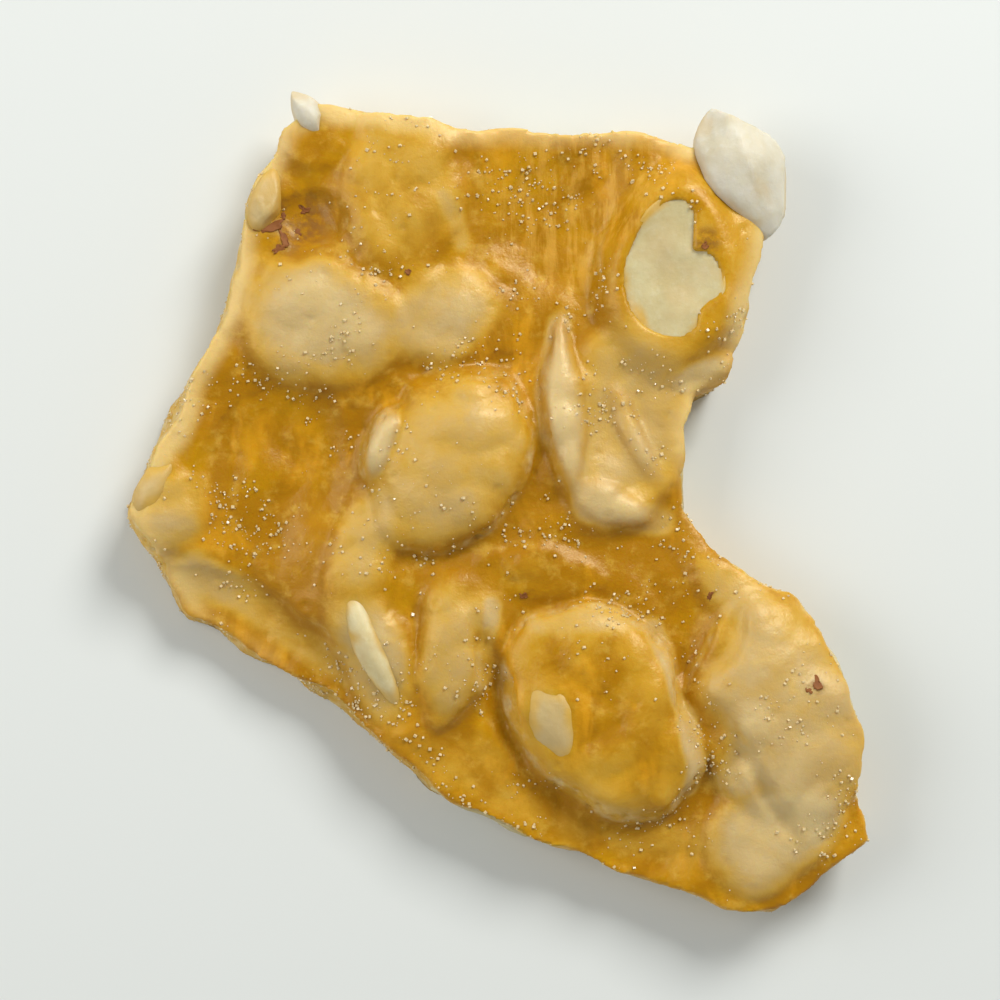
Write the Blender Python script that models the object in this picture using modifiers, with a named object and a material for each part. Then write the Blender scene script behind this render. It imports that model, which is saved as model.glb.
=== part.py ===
"""A broken shard of peanut brittle: a poured sheet of toffee with peanut kernels set in it.

The shard lies on the flat face that set against the slab it was poured on, with its lumpy face up. +Z is
up and the origin is the middle of the footprint, on the surface that the shard lies on. Blender units are
metres; the lists of places and sizes below are in millimetres and turned into metres where they are used.
"""

import math
from typing import NamedTuple

import bmesh
import bpy
import numpy as np
from mathutils import Matrix, Vector, noise

MM = 0.001

# Driving dimensions
SHEET_THICKNESS = 4.8 * MM
SHEET_SIZE = 58.0 * MM
SHEET_BELOW = 1.0 * MM  # how far the uncut sheet reaches below the face that the shard lies on
SOCKET_GAP = 0.3 * MM
KERNEL_PROUD = 0.15 * MM
KERNEL_ABOVE_FLOOR = 0.1 * MM
FOOTPRINT_SHIFT = (0.50 * MM, 0.115 * MM)

# Resolution of the solids
SHEET_STEP = 0.6 * MM
EDGE_STEP = 0.7 * MM
VOXEL = 0.5 * MM
TOFFEE_TRIANGLES = 7000
KERNEL_SEGMENTS = 14
KERNEL_RINGS = 8
SHARP_ANGLE = math.radians(40.0)

# The noise functions start from the clock unless they are given a seed
NOISE_SEED = 3

# The shard's broken outline seen from above, clockwise from the top left corner, in millimetres
OUTLINE = (
    (-11.6, 24.6), (-9.6, 24.1), (-6.2, 23.9), (-4.2, 23.5), (-2.6, 22.7), (6.0, 23.1), (8.8, 22.8),
    (11.6, 22.0), (13.6, 22.8), (15.6, 22.6), (16.8, 20.4), (16.6, 17.4), (15.3, 11.7), (14.3, 7.6),
    (12.3, 6.4), (11.4, 4.4), (11.4, -0.8), (12.8, -2.8), (16.4, -5.2), (18.3, -6.1), (20.7, -9.9),
    (22.2, -13.9), (21.9, -18.1), (22.7, -20.9), (19.5, -23.7), (16.9, -25.5), (14.0, -25.3), (8.4, -23.2),
    (2.2, -21.0), (-4.2, -17.8), (-10.1, -11.9), (-15.0, -9.2), (-18.7, -7.1), (-20.6, -4.3), (-22.7, -0.9),
    (-21.1, 3.0), (-18.5, 8.5), (-17.0, 11.6), (-16.1, 16.6), (-14.8, 19.8), (-13.4, 23.0),
)

# How far the broken wall leans out at its foot, on the side that faces this way
LEAN_TOWARDS = math.radians(205.0)
LEAN_SLOPE = 0.22
BREAK_RANGE = (-2.0 * MM, 13.0 * MM)

# How far the break strays from the outline, over what distance, in millimetres, and how much faster it
# changes with height than along the outline
COARSE_TEAR, COARSE_TEAR_SIZE, COARSE_TEAR_RISE = 0.5, 3.6, 1.2
FINE_TEAR, FINE_TEAR_SIZE, FINE_TEAR_RISE = 0.14, 1.4, 1.6

# How far the lumps' outlines wander, and over what distance, in millimetres
WIDE_WANDER, WIDE_SWIRL = 0.7, 5.5
FINE_WANDER, FINE_SWIRL = 0.3, 2.1

# Unevenness of the poured face between the lumps, in millimetres, and its wave in radians per millimetre
FOLD_HEIGHT, FOLD_SIZE, FOLD_MIDDLE = 0.5, 3.4, 0.5
SWELL_HEIGHT = 0.28
SWELL_WAVE = (0.31, 0.27)
SWELL_START = (0.9, -0.4)

# Layers of the noise that the fine wander and the folds are read from, so that neither repeats the wide one
FINE_LAYER = 20.0
FOLD_LAYER = 7.0

# Form of a lump
LUMP_FALL = 2.0  # how steeply it keeps falling outside its outline
HOLLOW_REACH = 1.3  # how soon its dished middle ends
BLEND_POWER = 4.0  # how sharply two lumps meet

# Form of a kernel, as shares of its half sizes
KERNEL_TAPER = 0.16
KERNEL_POINT = 0.08
SPLIT_DISH = 0.08
NOTCH_TOWARDS = math.radians(-50.0)
NOTCH_WIDTH = 0.42

# Plain colours of the solids
TOFFEE_COLOUR = (0.50, 0.27, 0.035)
PEANUT_COLOUR = (0.62, 0.50, 0.27)


class Lump(NamedTuple):
    """A swelling of the toffee over a peanut, or with a negative rise a hollow or a crease."""

    x: float
    y: float
    half_length: float
    half_width: float
    turn: float  # degrees, of the long axis from +X
    rise: float
    flatness: float = 2.0  # 2 is a dome, 5 is a plate with steep sides
    hollow: float = 0.0  # how far the middle is dished
    foot: float = 0.9  # width of the fillet at its foot
    taper: float = 0.0  # how much the far end narrows


LUMPS = {
    "top_edge": Lump(-6.2, 19.0, 6.0, 3.9, 82, 1.1, foot=1.2),
    "top_left_knob": Lump(-11.0, 22.6, 2.6, 1.9, 40, 0.7),
    "left_pale": Lump(-10.9, 10.9, 5.4, 3.9, -12, 1.3, foot=1.9, taper=0.15),
    "left_pale_tail": Lump(-3.8, 11.2, 4.2, 3.0, 25, 0.7, foot=1.3),
    "centre_dome": Lump(-3.2, 2.4, 6.6, 5.0, 62, 2.5, flatness=2.6, foot=0.45, taper=-0.1),
    "centre_kernel_end": Lump(-7.4, 3.6, 2.8, 1.1, 78, 2.3, foot=0.4),
    "dome_skirt": Lump(-8.2, -2.4, 4.6, 2.4, 70, 0.9, foot=1.2),
    "leaf": Lump(-2.6, -9.6, 5.4, 2.8, 76, 1.5, foot=0.8, taper=-0.45),
    "sliver_bank": Lump(-7.7, -10.0, 5.4, 2.3, -66, 1.1, foot=0.8),
    "notch_cup": Lump(7.6, 4.8, 6.8, 4.5, 80, 1.4, flatness=3.0, hollow=1.0, foot=0.7),
    "cup_rim": Lump(4.0, 5.4, 5.6, 1.2, -86, 1.6, foot=0.7),
    "cup_foot": Lump(6.8, -0.2, 2.8, 1.3, -22, 1.4, foot=0.6),
    "cup_fold": Lump(8.2, 3.8, 4.4, 0.9, 118, 1.1, foot=0.5),
    "notch_lip": Lump(12.2, 7.6, 2.8, 1.2, 20, 0.9, foot=0.6),
    "top_right_bank": Lump(11.2, 14.8, 6.6, 4.9, 75, 1.4, flatness=3.0),
    "plate": Lump(6.4, -13.1, 7.6, 5.5, -54, 2.4, flatness=4.0, hollow=0.3, foot=0.35, taper=0.02),
    "right_dome": Lump(17.2, -12.8, 7.6, 5.4, -74, 2.5, flatness=2.4, foot=0.9, taper=-0.12),
    "right_foot": Lump(17.2, -20.4, 5.0, 3.2, 38, 1.1, flatness=2.4, foot=1.0),
    "right_shoulder": Lump(14.8, -5.8, 3.8, 2.1, -35, 0.8, foot=1.0),
    "left_corner": Lump(-19.8, -0.6, 2.8, 2.1, 70, 0.7),
    "middle_ridge": Lump(2.6, -4.5, 4.4, 1.5, -4, 0.7),
    "left_basin": Lump(-14.4, 2.2, 6.4, 4.2, 66, -0.8, foot=1.4),
    "top_basin": Lump(4.4, 17.6, 5.4, 3.6, 25, -0.6, foot=1.4),
    "bottom_basin": Lump(5.4, -20.6, 5.6, 2.2, -22, -0.6, foot=1.2),
    "lower_left_slope": Lump(-13.0, -9.4, 9.5, 2.6, -30, -1.3, foot=1.4),
    "crag": Lump(-11.6, 17.6, 2.4, 1.6, -20, -0.8, foot=0.5),
    "crease_left_of_plate": Lump(-0.2, -11.6, 5.0, 0.8, -72, -0.6, foot=0.5),
    "crease_right_of_plate": Lump(13.0, -13.4, 5.0, 0.9, -68, -0.5, foot=0.6),
    "crease_on_dome": Lump(16.0, -17.2, 4.4, 0.6, -58, -0.4, foot=0.3),
    "crease_on_shoulder": Lump(13.8, -8.6, 2.8, 0.6, 62, -0.4, foot=0.3),
    "crease_over_dome": Lump(-2.6, 8.2, 4.4, 0.7, 2, -0.4, foot=0.4),
}


class Kernel(NamedTuple):
    """A peanut kernel, or a broken piece of one, that shows at the surface."""

    x: float
    y: float
    length: float
    width: float
    depth: float
    turn: float  # degrees, of the long axis from +X
    z: float = 0.0  # height of its middle, where proud gives none
    proud: float = 0.0  # how far its top stands above the poured face
    roll: float = 0.0  # degrees, about the long axis
    point: float = 0.0  # how pointed both ends are
    notch: float = 0.0  # how deep a bite is broken out of its side
    split: bool = False  # a half kernel, its dished inner face up
    torn: bool = False  # cut off by the broken edge


KERNELS = {
    "peanut_top_right": Kernel(10.6, 14.2, 9.2, 6.4, 6.0, 84, proud=0.3, roll=-5, split=True, notch=0.52),
    "peanut_corner": Kernel(15.0, 20.0, 9.4, 5.6, 4.4, -66, z=4.0, point=0.3),
    "peanut_sliver": Kernel(-7.9, -9.0, 9.6, 2.6, 4.4, -66, proud=0.35),
    "peanut_window": Kernel(3.7, -13.7, 7.2, 4.2, 3.4, -64, proud=0.25),
    "peanut_tip": Kernel(-11.8, 23.8, 3.8, 2.0, 2.6, 125, z=3.8, point=0.3),
    "peanut_left_edge": Kernel(-14.5, 18.5, 4.6, 2.2, 2.8, 75, z=3.7),
    "peanut_left_corner": Kernel(-21.3, 0.9, 5.2, 2.4, 3.0, 62, z=3.2),
    "peanut_notch_wall": Kernel(10.2, 3.0, 8.8, 5.4, 3.4, 84, z=2.5, torn=True),
    "peanut_right_wall": Kernel(20.2, -12.6, 9.6, 6.4, 4.2, -70, z=2.8, torn=True),
    "peanut_front_wall": Kernel(-0.6, -18.8, 8.0, 4.4, 2.3, -25, z=1.8, torn=True),
    "peanut_top_wall": Kernel(3.2, 22.6, 8.4, 4.2, 2.3, 4, z=2.0, torn=True),
    "peanut_under_centre": Kernel(-3.2, 2.4, 7.0, 5.0, 3.6, 50, z=1.5),
    "peanut_under_left": Kernel(-11.0, 9.6, 8.0, 5.0, 3.0, -12, z=1.2),
    "peanut_under_front": Kernel(8.8, -15.2, 6.2, 4.6, 3.2, 30, z=1.4),
}


def tear(x, y, z):
    """How far the break strays at a point, from one coarse and one fine swirl that never fold it over."""
    coarse = noise.noise_vector(Vector((x, y, COARSE_TEAR_RISE * z)) / (COARSE_TEAR_SIZE * MM))
    fine = noise.noise_vector(Vector((x, y, FINE_TEAR_RISE * z)) / (FINE_TEAR_SIZE * MM))
    return COARSE_TEAR * MM * coarse.xy + FINE_TEAR * MM * fine.xy


def lean(x, y, z):
    """How far the wall stands out at this height: its foot is wider on the side that LEAN_TOWARDS names."""
    outward = Vector((x, y)).normalized()
    share = outward.dot(Vector((math.cos(LEAN_TOWARDS), math.sin(LEAN_TOWARDS))))
    return outward * (SHEET_THICKNESS - z) * LEAN_SLOPE * share


def outline_points(step):
    """The outline in metres, with points no further apart than step."""
    corners = [Vector(corner) * MM for corner in OUTLINE]
    points = []
    for start, end in zip(corners, corners[1:] + corners[:1]):
        pieces = max(1, round((end - start).length / step))
        points += [start.lerp(end, i / pieces) for i in range(pieces)]
    return points


def new_object(name, mesh, collection):
    obj = bpy.data.objects.new(name, mesh)
    collection.objects.link(obj)
    return obj


def apply_modifiers(obj):
    """Replaces the mesh by the result of its modifiers."""
    depsgraph = bpy.context.evaluated_depsgraph_get()
    mesh = bpy.data.meshes.new_from_object(obj.evaluated_get(depsgraph))
    obj.modifiers.clear()
    obj.data = mesh


def combine(obj, other, operation):
    """One exact Boolean between two meshes, applied."""
    modifier = obj.modifiers.new(operation.title(), "BOOLEAN")
    modifier.operation = operation
    modifier.object = other
    modifier.solver = "EXACT"
    apply_modifiers(obj)


def break_cutter(name, collection, grow=0.0):
    """The block that the break leaves: rings of the torn outline, extruded upwards one after another."""
    low, high = BREAK_RANGE
    points = outline_points(EDGE_STEP)
    levels = np.linspace(low, high, 1 + round((high - low) / EDGE_STEP))

    def place(point, z):
        x, y = point
        spot = point + tear(x, y, z) + lean(x, y, z)
        spot += spot.normalized() * grow
        return Vector((spot.x, spot.y, z))

    bm = bmesh.new()
    ring = [bm.verts.new(place(p, levels[0])) for p in points]
    edges = [bm.edges.new((a, b)) for a, b in zip(ring, ring[1:] + ring[:1])]
    bmesh.ops.contextual_create(bm, geom=edges)
    for level in levels[1:]:
        grown = bmesh.ops.extrude_edge_only(bm, edges=edges)["geom"]
        edges = [g for g in grown if isinstance(g, bmesh.types.BMEdge)]
        # A new vertex stands on the old one, and the edge between them tells which point it stands for
        above = {}
        for vert in (g for g in grown if isinstance(g, bmesh.types.BMVert)):
            below = next(e.other_vert(vert) for e in vert.link_edges if e.other_vert(vert) in ring)
            above[below] = vert
        ring = [above[vert] for vert in ring]
        for vert, point in zip(ring, points):
            vert.co = place(point, level)
    bmesh.ops.contextual_create(bm, geom=edges)
    bmesh.ops.recalc_face_normals(bm, faces=bm.faces)
    mesh = bpy.data.meshes.new(name)
    bm.to_mesh(mesh)
    bm.free()
    cutter = new_object(name, mesh, collection)
    cutter.hide_render = True
    cutter.display_type = "WIRE"
    return cutter


def wander(x, y):
    """Shifts places in millimetres a little, so that no lump keeps an even outline."""
    shifts = np.array([
        WIDE_WANDER * noise.noise_vector(Vector((a, b, 0.0)) / WIDE_SWIRL)
        + FINE_WANDER * noise.noise_vector(Vector((a, b, FINE_LAYER)) / FINE_SWIRL)
        for a, b in zip(x, y)
    ])
    return x + shifts[:, 0], y + shifts[:, 1]


def lump_radius(lump, x, y):
    """Distance from a lump's middle, 1 at its outline, at arrays of places in millimetres."""
    turn = math.radians(lump.turn)
    along = (x - lump.x) * math.cos(turn) + (y - lump.y) * math.sin(turn)
    across = (y - lump.y) * math.cos(turn) - (x - lump.x) * math.sin(turn)
    narrow = 1 - lump.taper * np.clip(along / lump.half_length, -1.2, 1.2)
    return np.hypot(along / lump.half_length, across / (lump.half_width * narrow))


def lump_height(lump, x, y):
    """Height of one lump above the sheet, or depth of a hollow, at arrays of places in millimetres."""
    radius = lump_radius(lump, x, y)
    size = abs(lump.rise)
    inside = size * np.clip(1 - radius**lump.flatness, 0, 1) ** 0.5
    outside = size * LUMP_FALL * np.clip(radius - 1, 0, 2)
    cap = inside - outside - lump.hollow * np.clip(1 - HOLLOW_REACH * radius**2, 0, 1)
    soft = (cap + np.hypot(cap, lump.foot)) / 2
    return math.copysign(1, lump.rise) * soft


def folds(x, y):
    """Round swells with a crease between them, at arrays of places in millimetres."""
    return np.array([abs(noise.noise(Vector((a, b, FOLD_LAYER)) / FOLD_SIZE)) for a, b in zip(x, y)])


def top_height(x, y):
    """Height of the poured face at arrays of places in metres."""
    x, y = x / MM, y / MM
    swell = SWELL_HEIGHT * np.sin(SWELL_WAVE[0] * x + SWELL_START[0])
    swell *= np.cos(SWELL_WAVE[1] * y + SWELL_START[1])
    swell += FOLD_HEIGHT * (folds(x, y) - FOLD_MIDDLE)
    x, y = wander(x, y)
    up = [lump_height(lump, x, y) for lump in LUMPS.values() if lump.rise > 0]
    down = [lump_height(lump, x, y) for lump in LUMPS.values() if lump.rise < 0]
    rise = sum(height**BLEND_POWER for height in up) ** (1 / BLEND_POWER)
    return SHEET_THICKNESS + (swell + rise + sum(down)) * MM


def poured_sheet(name, collection):
    """A slab wider than the shard, its upper face raised over each peanut."""
    count = round(SHEET_SIZE / SHEET_STEP)
    bpy.ops.mesh.primitive_grid_add(x_subdivisions=count, y_subdivisions=count, size=SHEET_SIZE)
    sheet = bpy.context.object
    sheet.name = name
    for holder in list(sheet.users_collection):
        holder.objects.unlink(sheet)
    collection.objects.link(sheet)
    solidify = sheet.modifiers.new("Thickness", "SOLIDIFY")
    solidify.thickness = SHEET_BELOW
    solidify.offset = -1.0
    apply_modifiers(sheet)
    verts = sheet.data.vertices
    co = np.empty(3 * len(verts), np.float32)
    verts.foreach_get("co", co)
    co = co.reshape(-1, 3).astype(float)
    upper = co[:, 2] > -SHEET_BELOW / 2
    co[upper, 2] = top_height(co[upper, 0], co[upper, 1])
    verts.foreach_set("co", co.astype(np.float32).ravel())
    sheet.data.update()
    return sheet


def kernel_middle(kernel):
    """Height of a kernel's middle in millimetres."""
    if kernel.proud == 0.0:
        return kernel.z
    face = top_height(np.array([kernel.x * MM]), np.array([kernel.y * MM]))[0] / MM
    top = 0.0 if kernel.split else kernel.depth / 2
    return face + kernel.proud - top


def kernel_point(kernel, vert, half, whole):
    """Where a point of the unit sphere lies on a kernel, in the kernel's own frame."""
    x, y, z = vert
    if not whole:
        away = (math.atan2(y, x) - NOTCH_TOWARDS + math.pi) % math.tau - math.pi
        bite = 1 - kernel.notch * math.exp(-((away / NOTCH_WIDTH) ** 2))
        x, y = x * bite, y * bite
    narrow = 1 - KERNEL_TAPER * x - (kernel.point + KERNEL_POINT) * x * x
    if kernel.split and not whole and z > 0:
        z = -SPLIT_DISH * (1 - min(1.0, x * x + y * y))
    return Vector((x * half.x, y * half.y * narrow, z * half.z * narrow))


def kernel_mesh(name, kernel, grow=0.0, whole=False):
    """A kernel as a tapered ellipsoid, or a split one with a dished flat face, placed where it lies."""
    bm = bmesh.new()
    bmesh.ops.create_uvsphere(bm, u_segments=KERNEL_SEGMENTS, v_segments=KERNEL_RINGS, radius=1.0)
    half = Vector((kernel.length, kernel.width, kernel.depth)) * (MM / 2) + Vector((grow, grow, grow))
    for vert in bm.verts:
        vert.co = kernel_point(kernel, vert.co, half, whole)
    turn = Matrix.Rotation(math.radians(kernel.turn), 4, "Z")
    roll = Matrix.Rotation(math.radians(kernel.roll), 4, "X")
    place = Matrix.Translation(Vector((kernel.x, kernel.y, kernel_middle(kernel))) * MM)
    bmesh.ops.transform(bm, matrix=place @ turn @ roll, verts=bm.verts)
    bmesh.ops.recalc_face_normals(bm, faces=bm.faces)
    mesh = bpy.data.meshes.new(name)
    bm.to_mesh(mesh)
    bm.free()
    return mesh


def cut_flat(obj, height):
    """Cuts the mesh off level at this height, keeps what is above, and closes the cut."""
    bm = bmesh.new()
    bm.from_mesh(obj.data)
    geom = [*bm.verts, *bm.edges, *bm.faces]
    cut = bmesh.ops.bisect_plane(
        bm, geom=geom, dist=1e-7, plane_co=(0, 0, height), plane_no=(0, 0, 1), clear_inner=True
    )["geom_cut"]
    rim = [g for g in cut if isinstance(g, bmesh.types.BMEdge)]
    bmesh.ops.holes_fill(bm, edges=rim, sides=0)
    bmesh.ops.recalc_face_normals(bm, faces=bm.faces)
    bm.to_mesh(obj.data)
    bm.free()


def drop_scraps(obj):
    """Keeps the largest body of the mesh and removes the crumbs that a cut left loose beside it."""
    bm = bmesh.new()
    bm.from_mesh(obj.data)
    waiting = set(bm.verts)
    bodies = []
    while waiting:
        body = set()
        front = [waiting.pop()]
        while front:
            vert = front.pop()
            body.add(vert)
            near = {edge.other_vert(vert) for edge in vert.link_edges} & waiting
            waiting -= near
            front += near
        bodies.append(body)
    bodies.sort(key=len)
    scraps = [vert for body in bodies[:-1] for vert in body]
    bmesh.ops.delete(bm, geom=scraps, context="VERTS")
    bm.to_mesh(obj.data)
    bm.free()


def material(name, colour, roughness):
    made = bpy.data.materials.new(name)
    made.use_nodes = True
    shader = made.node_tree.nodes["Principled BSDF"]
    shader.inputs["Base Color"].default_value = (*colour, 1.0)
    shader.inputs["Roughness"].default_value = roughness
    shader.inputs["Metallic"].default_value = 0.0
    return made


def build():
    noise.seed_set(NOISE_SEED)
    for obj in list(bpy.data.objects):
        bpy.data.objects.remove(obj)
    parts = bpy.data.collections.new("peanut_brittle_shard")
    cutters = bpy.data.collections.new("cutters")
    bpy.context.scene.collection.children.link(parts)
    bpy.context.scene.collection.children.link(cutters)

    # Toffee: the sheet broken along the outline, then evened out and laid flat
    toffee = poured_sheet("toffee", parts)
    shape = break_cutter("break", cutters)
    combine(toffee, shape, "INTERSECT")
    remesh = toffee.modifiers.new("Even", "REMESH")
    remesh.mode = "VOXEL"
    remesh.voxel_size = VOXEL
    apply_modifiers(toffee)
    decimate = toffee.modifiers.new("Simplify", "DECIMATE")
    decimate.ratio = TOFFEE_TRIANGLES / (2 * len(toffee.data.polygons))
    apply_modifiers(toffee)
    cut_flat(toffee, 0.0)

    # Peanuts: each kernel lies in a socket that is a little wider than it
    kernel_break = break_cutter("kernel_break", cutters, grow=KERNEL_PROUD)
    peanut = material("roasted_peanut", PEANUT_COLOUR, 0.55)
    for name, kernel in KERNELS.items():
        obj = new_object(name, kernel_mesh(name, kernel), parts)
        if kernel.torn:
            combine(obj, kernel_break, "INTERSECT")
        if kernel_middle(kernel) < kernel.depth / 2:
            cut_flat(obj, KERNEL_ABOVE_FLOOR)
        socket = new_object(name + "_socket", kernel_mesh(name, kernel, SOCKET_GAP, whole=True), cutters)
        combine(toffee, socket, "DIFFERENCE")
        bpy.data.objects.remove(socket)
    drop_scraps(toffee)
    for name in KERNELS:
        obj = bpy.data.objects[name]
        obj.data.materials.clear()
        obj.data.materials.append(peanut)
        obj.data.shade_smooth()

    toffee.data.materials.clear()
    toffee.data.materials.append(material("toffee", TOFFEE_COLOUR, 0.35))
    toffee.data.set_sharp_from_angle(angle=SHARP_ANGLE)
    for obj in parts.objects:
        obj.location.x, obj.location.y = FOOTPRINT_SHIFT
    for cutter in list(cutters.objects):
        bpy.data.objects.remove(cutter)


build()
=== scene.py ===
"""The looks of the peanut brittle shard: glossy amber toffee, pale kernels, sugar grains and skin flakes.

The outline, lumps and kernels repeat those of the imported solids, in millimetres, at a finer resolution.
"""

import math
from typing import NamedTuple

import bmesh
import bpy
import numpy as np
from mathutils import Matrix, Vector, bvhtree, kdtree, noise


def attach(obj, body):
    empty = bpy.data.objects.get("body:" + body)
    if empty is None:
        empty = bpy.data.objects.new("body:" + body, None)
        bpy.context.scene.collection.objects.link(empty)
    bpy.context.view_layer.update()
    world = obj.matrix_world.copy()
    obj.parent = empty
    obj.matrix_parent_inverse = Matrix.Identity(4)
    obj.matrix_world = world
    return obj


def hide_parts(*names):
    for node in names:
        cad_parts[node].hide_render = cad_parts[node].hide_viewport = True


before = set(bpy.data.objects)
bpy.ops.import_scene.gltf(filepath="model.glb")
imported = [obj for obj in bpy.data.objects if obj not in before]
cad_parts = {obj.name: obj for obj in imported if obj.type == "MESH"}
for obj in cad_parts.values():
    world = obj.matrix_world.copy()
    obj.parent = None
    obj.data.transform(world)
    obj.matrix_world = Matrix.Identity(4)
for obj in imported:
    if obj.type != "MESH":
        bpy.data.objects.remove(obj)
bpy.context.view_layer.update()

MM = 0.001

# The solids' own dimensions
SHEET_THICKNESS = 4.8 * MM
SHEET_SIZE = 58.0 * MM
SHEET_BELOW = 1.0 * MM  # how far the uncut sheet reaches below the face that the shard lies on
KERNEL_PROUD = 0.15 * MM
FOOTPRINT_SHIFT = Vector((0.50 * MM, 0.115 * MM, 0.0))

# Resolution of the looks
SHEET_STEP = 0.25 * MM
EDGE_STEP = 0.3 * MM
VOXEL = 0.21 * MM
DROP_STEP = 0.5 * MM  # of the grid that dips are told from crests on
KERNEL_SEGMENTS, KERNEL_RINGS = 48, 32
FLAKE_COLUMNS, FLAKE_ROWS = 10, 8

# The noise functions start from the clock unless they are given a seed
NOISE_SEED = 3

# The shard's broken outline seen from above, clockwise from the top left corner, in millimetres
OUTLINE = (
    (-11.6, 24.6), (-9.6, 24.1), (-6.2, 23.9), (-4.2, 23.5), (-2.6, 22.7), (6.0, 23.1), (8.8, 22.8),
    (11.6, 22.0), (13.6, 22.8), (15.6, 22.6), (16.8, 20.4), (16.6, 17.4), (15.3, 11.7), (14.3, 7.6),
    (12.3, 6.4), (11.4, 4.4), (11.4, -0.8), (12.8, -2.8), (16.4, -5.2), (18.3, -6.1), (20.7, -9.9),
    (22.2, -13.9), (21.9, -18.1), (22.7, -20.9), (19.5, -23.7), (16.9, -25.5), (14.0, -25.3), (8.4, -23.2),
    (2.2, -21.0), (-4.2, -17.8), (-10.1, -11.9), (-15.0, -9.2), (-18.7, -7.1), (-20.6, -4.3), (-22.7, -0.9),
    (-21.1, 3.0), (-18.5, 8.5), (-17.0, 11.6), (-16.1, 16.6), (-14.8, 19.8), (-13.4, 23.0),
)

# How far the broken wall leans out at its foot, on the side that faces this way
LEAN_TOWARDS = math.radians(205.0)
LEAN_SLOPE = 0.22
BREAK_RANGE = (-2.0 * MM, 13.0 * MM)

# How far the break strays from the outline, over what distance, in millimetres, and how much faster it
# changes with height than along the outline
COARSE_TEAR, COARSE_TEAR_SIZE, COARSE_TEAR_RISE = 0.5, 3.6, 1.2
FINE_TEAR, FINE_TEAR_SIZE, FINE_TEAR_RISE = 0.14, 1.4, 1.6

# How far the lumps' outlines wander, and over what distance, in millimetres
WIDE_WANDER, WIDE_SWIRL = 0.7, 5.5
FINE_WANDER, FINE_SWIRL = 0.3, 2.1

# Unevenness of the poured face between the lumps, in millimetres, and its wave in radians per millimetre
FOLD_HEIGHT, FOLD_SIZE, FOLD_MIDDLE = 0.5, 3.4, 0.5
SWELL_HEIGHT = 0.28
SWELL_WAVE = (0.31, 0.27)
SWELL_START = (0.9, -0.4)

# Layers of the noise that the fine wander and the folds are read from, so that neither repeats the wide one
FINE_LAYER = 20.0
FOLD_LAYER = 7.0

# Form of a lump
LUMP_FALL = 2.0  # how steeply it keeps falling outside its outline
HOLLOW_REACH = 1.3  # how soon its dished middle ends
BLEND_POWER = 4.0  # how sharply two lumps meet

# Form of a kernel, as shares of its half sizes
KERNEL_TAPER = 0.16
KERNEL_POINT = 0.08
SPLIT_DISH = 0.08
NOTCH_TOWARDS = math.radians(-50.0)
NOTCH_WIDTH = 0.42

# Fine relief of the toffee, in millimetres: height, size and seed of ripples
WIDE_RIPPLE, FINE_RIPPLE = (0.06, 1.6, 3.0), (0.025, 0.7, 7.0)
WALL_RIPPLE = (0.07, 0.9, 13.0)

# Depth, cell, reach as a share of the cell, and seed of bubbles' pits
WIDE_PITS, FINE_PITS = (0.3, 1.1, 0.34, 17.0), (0.14, 0.6, 0.3, 18.0)
FACE_PITS = (0.12, 1.6, 0.22, 19.0)
UNDER_PITS = (0.16, 1.7, 0.3, 23.0)

# Crags of the broken walls, like the inside of shells: the same, and how high the rims between them stand,
# as a share of the depth
SHELLS, SHELL_RIM = (0.32, 2.9, 0.85, 11.0), 0.3

# Looks of the poured face
CRISP_FOOT = 0.8  # a lump whose foot is no wider than this, in millimetres, has a line of painted shade round it
CREASE_SHADE_RADIUS, CREASE_SHADE_WIDTH = 1.04, 0.35  # where that line of painted shade lies, and its half width in millimetres
POOL_REACH, POOL_DEPTH = 1.6 * MM, 2.0 * MM  # width and depth of the dips that toffee and sugar gather in, which the colour darkens partly as painted shade
EDGE_HIGHLIGHT_HEIGHT, EDGE_HIGHLIGHT_WIDTH = 5.0 * MM, 2.0 * MM  # the painted highlight and glow along the torn edge


class Lump(NamedTuple):
    """A swelling of the toffee over a peanut, or with a negative rise a hollow or a crease."""

    x: float
    y: float
    half_length: float
    half_width: float
    turn: float  # degrees, of the long axis from +X
    rise: float
    flatness: float = 2.0  # 2 is a dome, 5 is a plate with steep sides
    hollow: float = 0.0  # how far the middle is dished
    foot: float = 0.9  # width of the fillet at its foot
    taper: float = 0.0  # how much the far end narrows
    pale: float = 0.5  # how much of the peanut shows through its toffee


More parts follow.
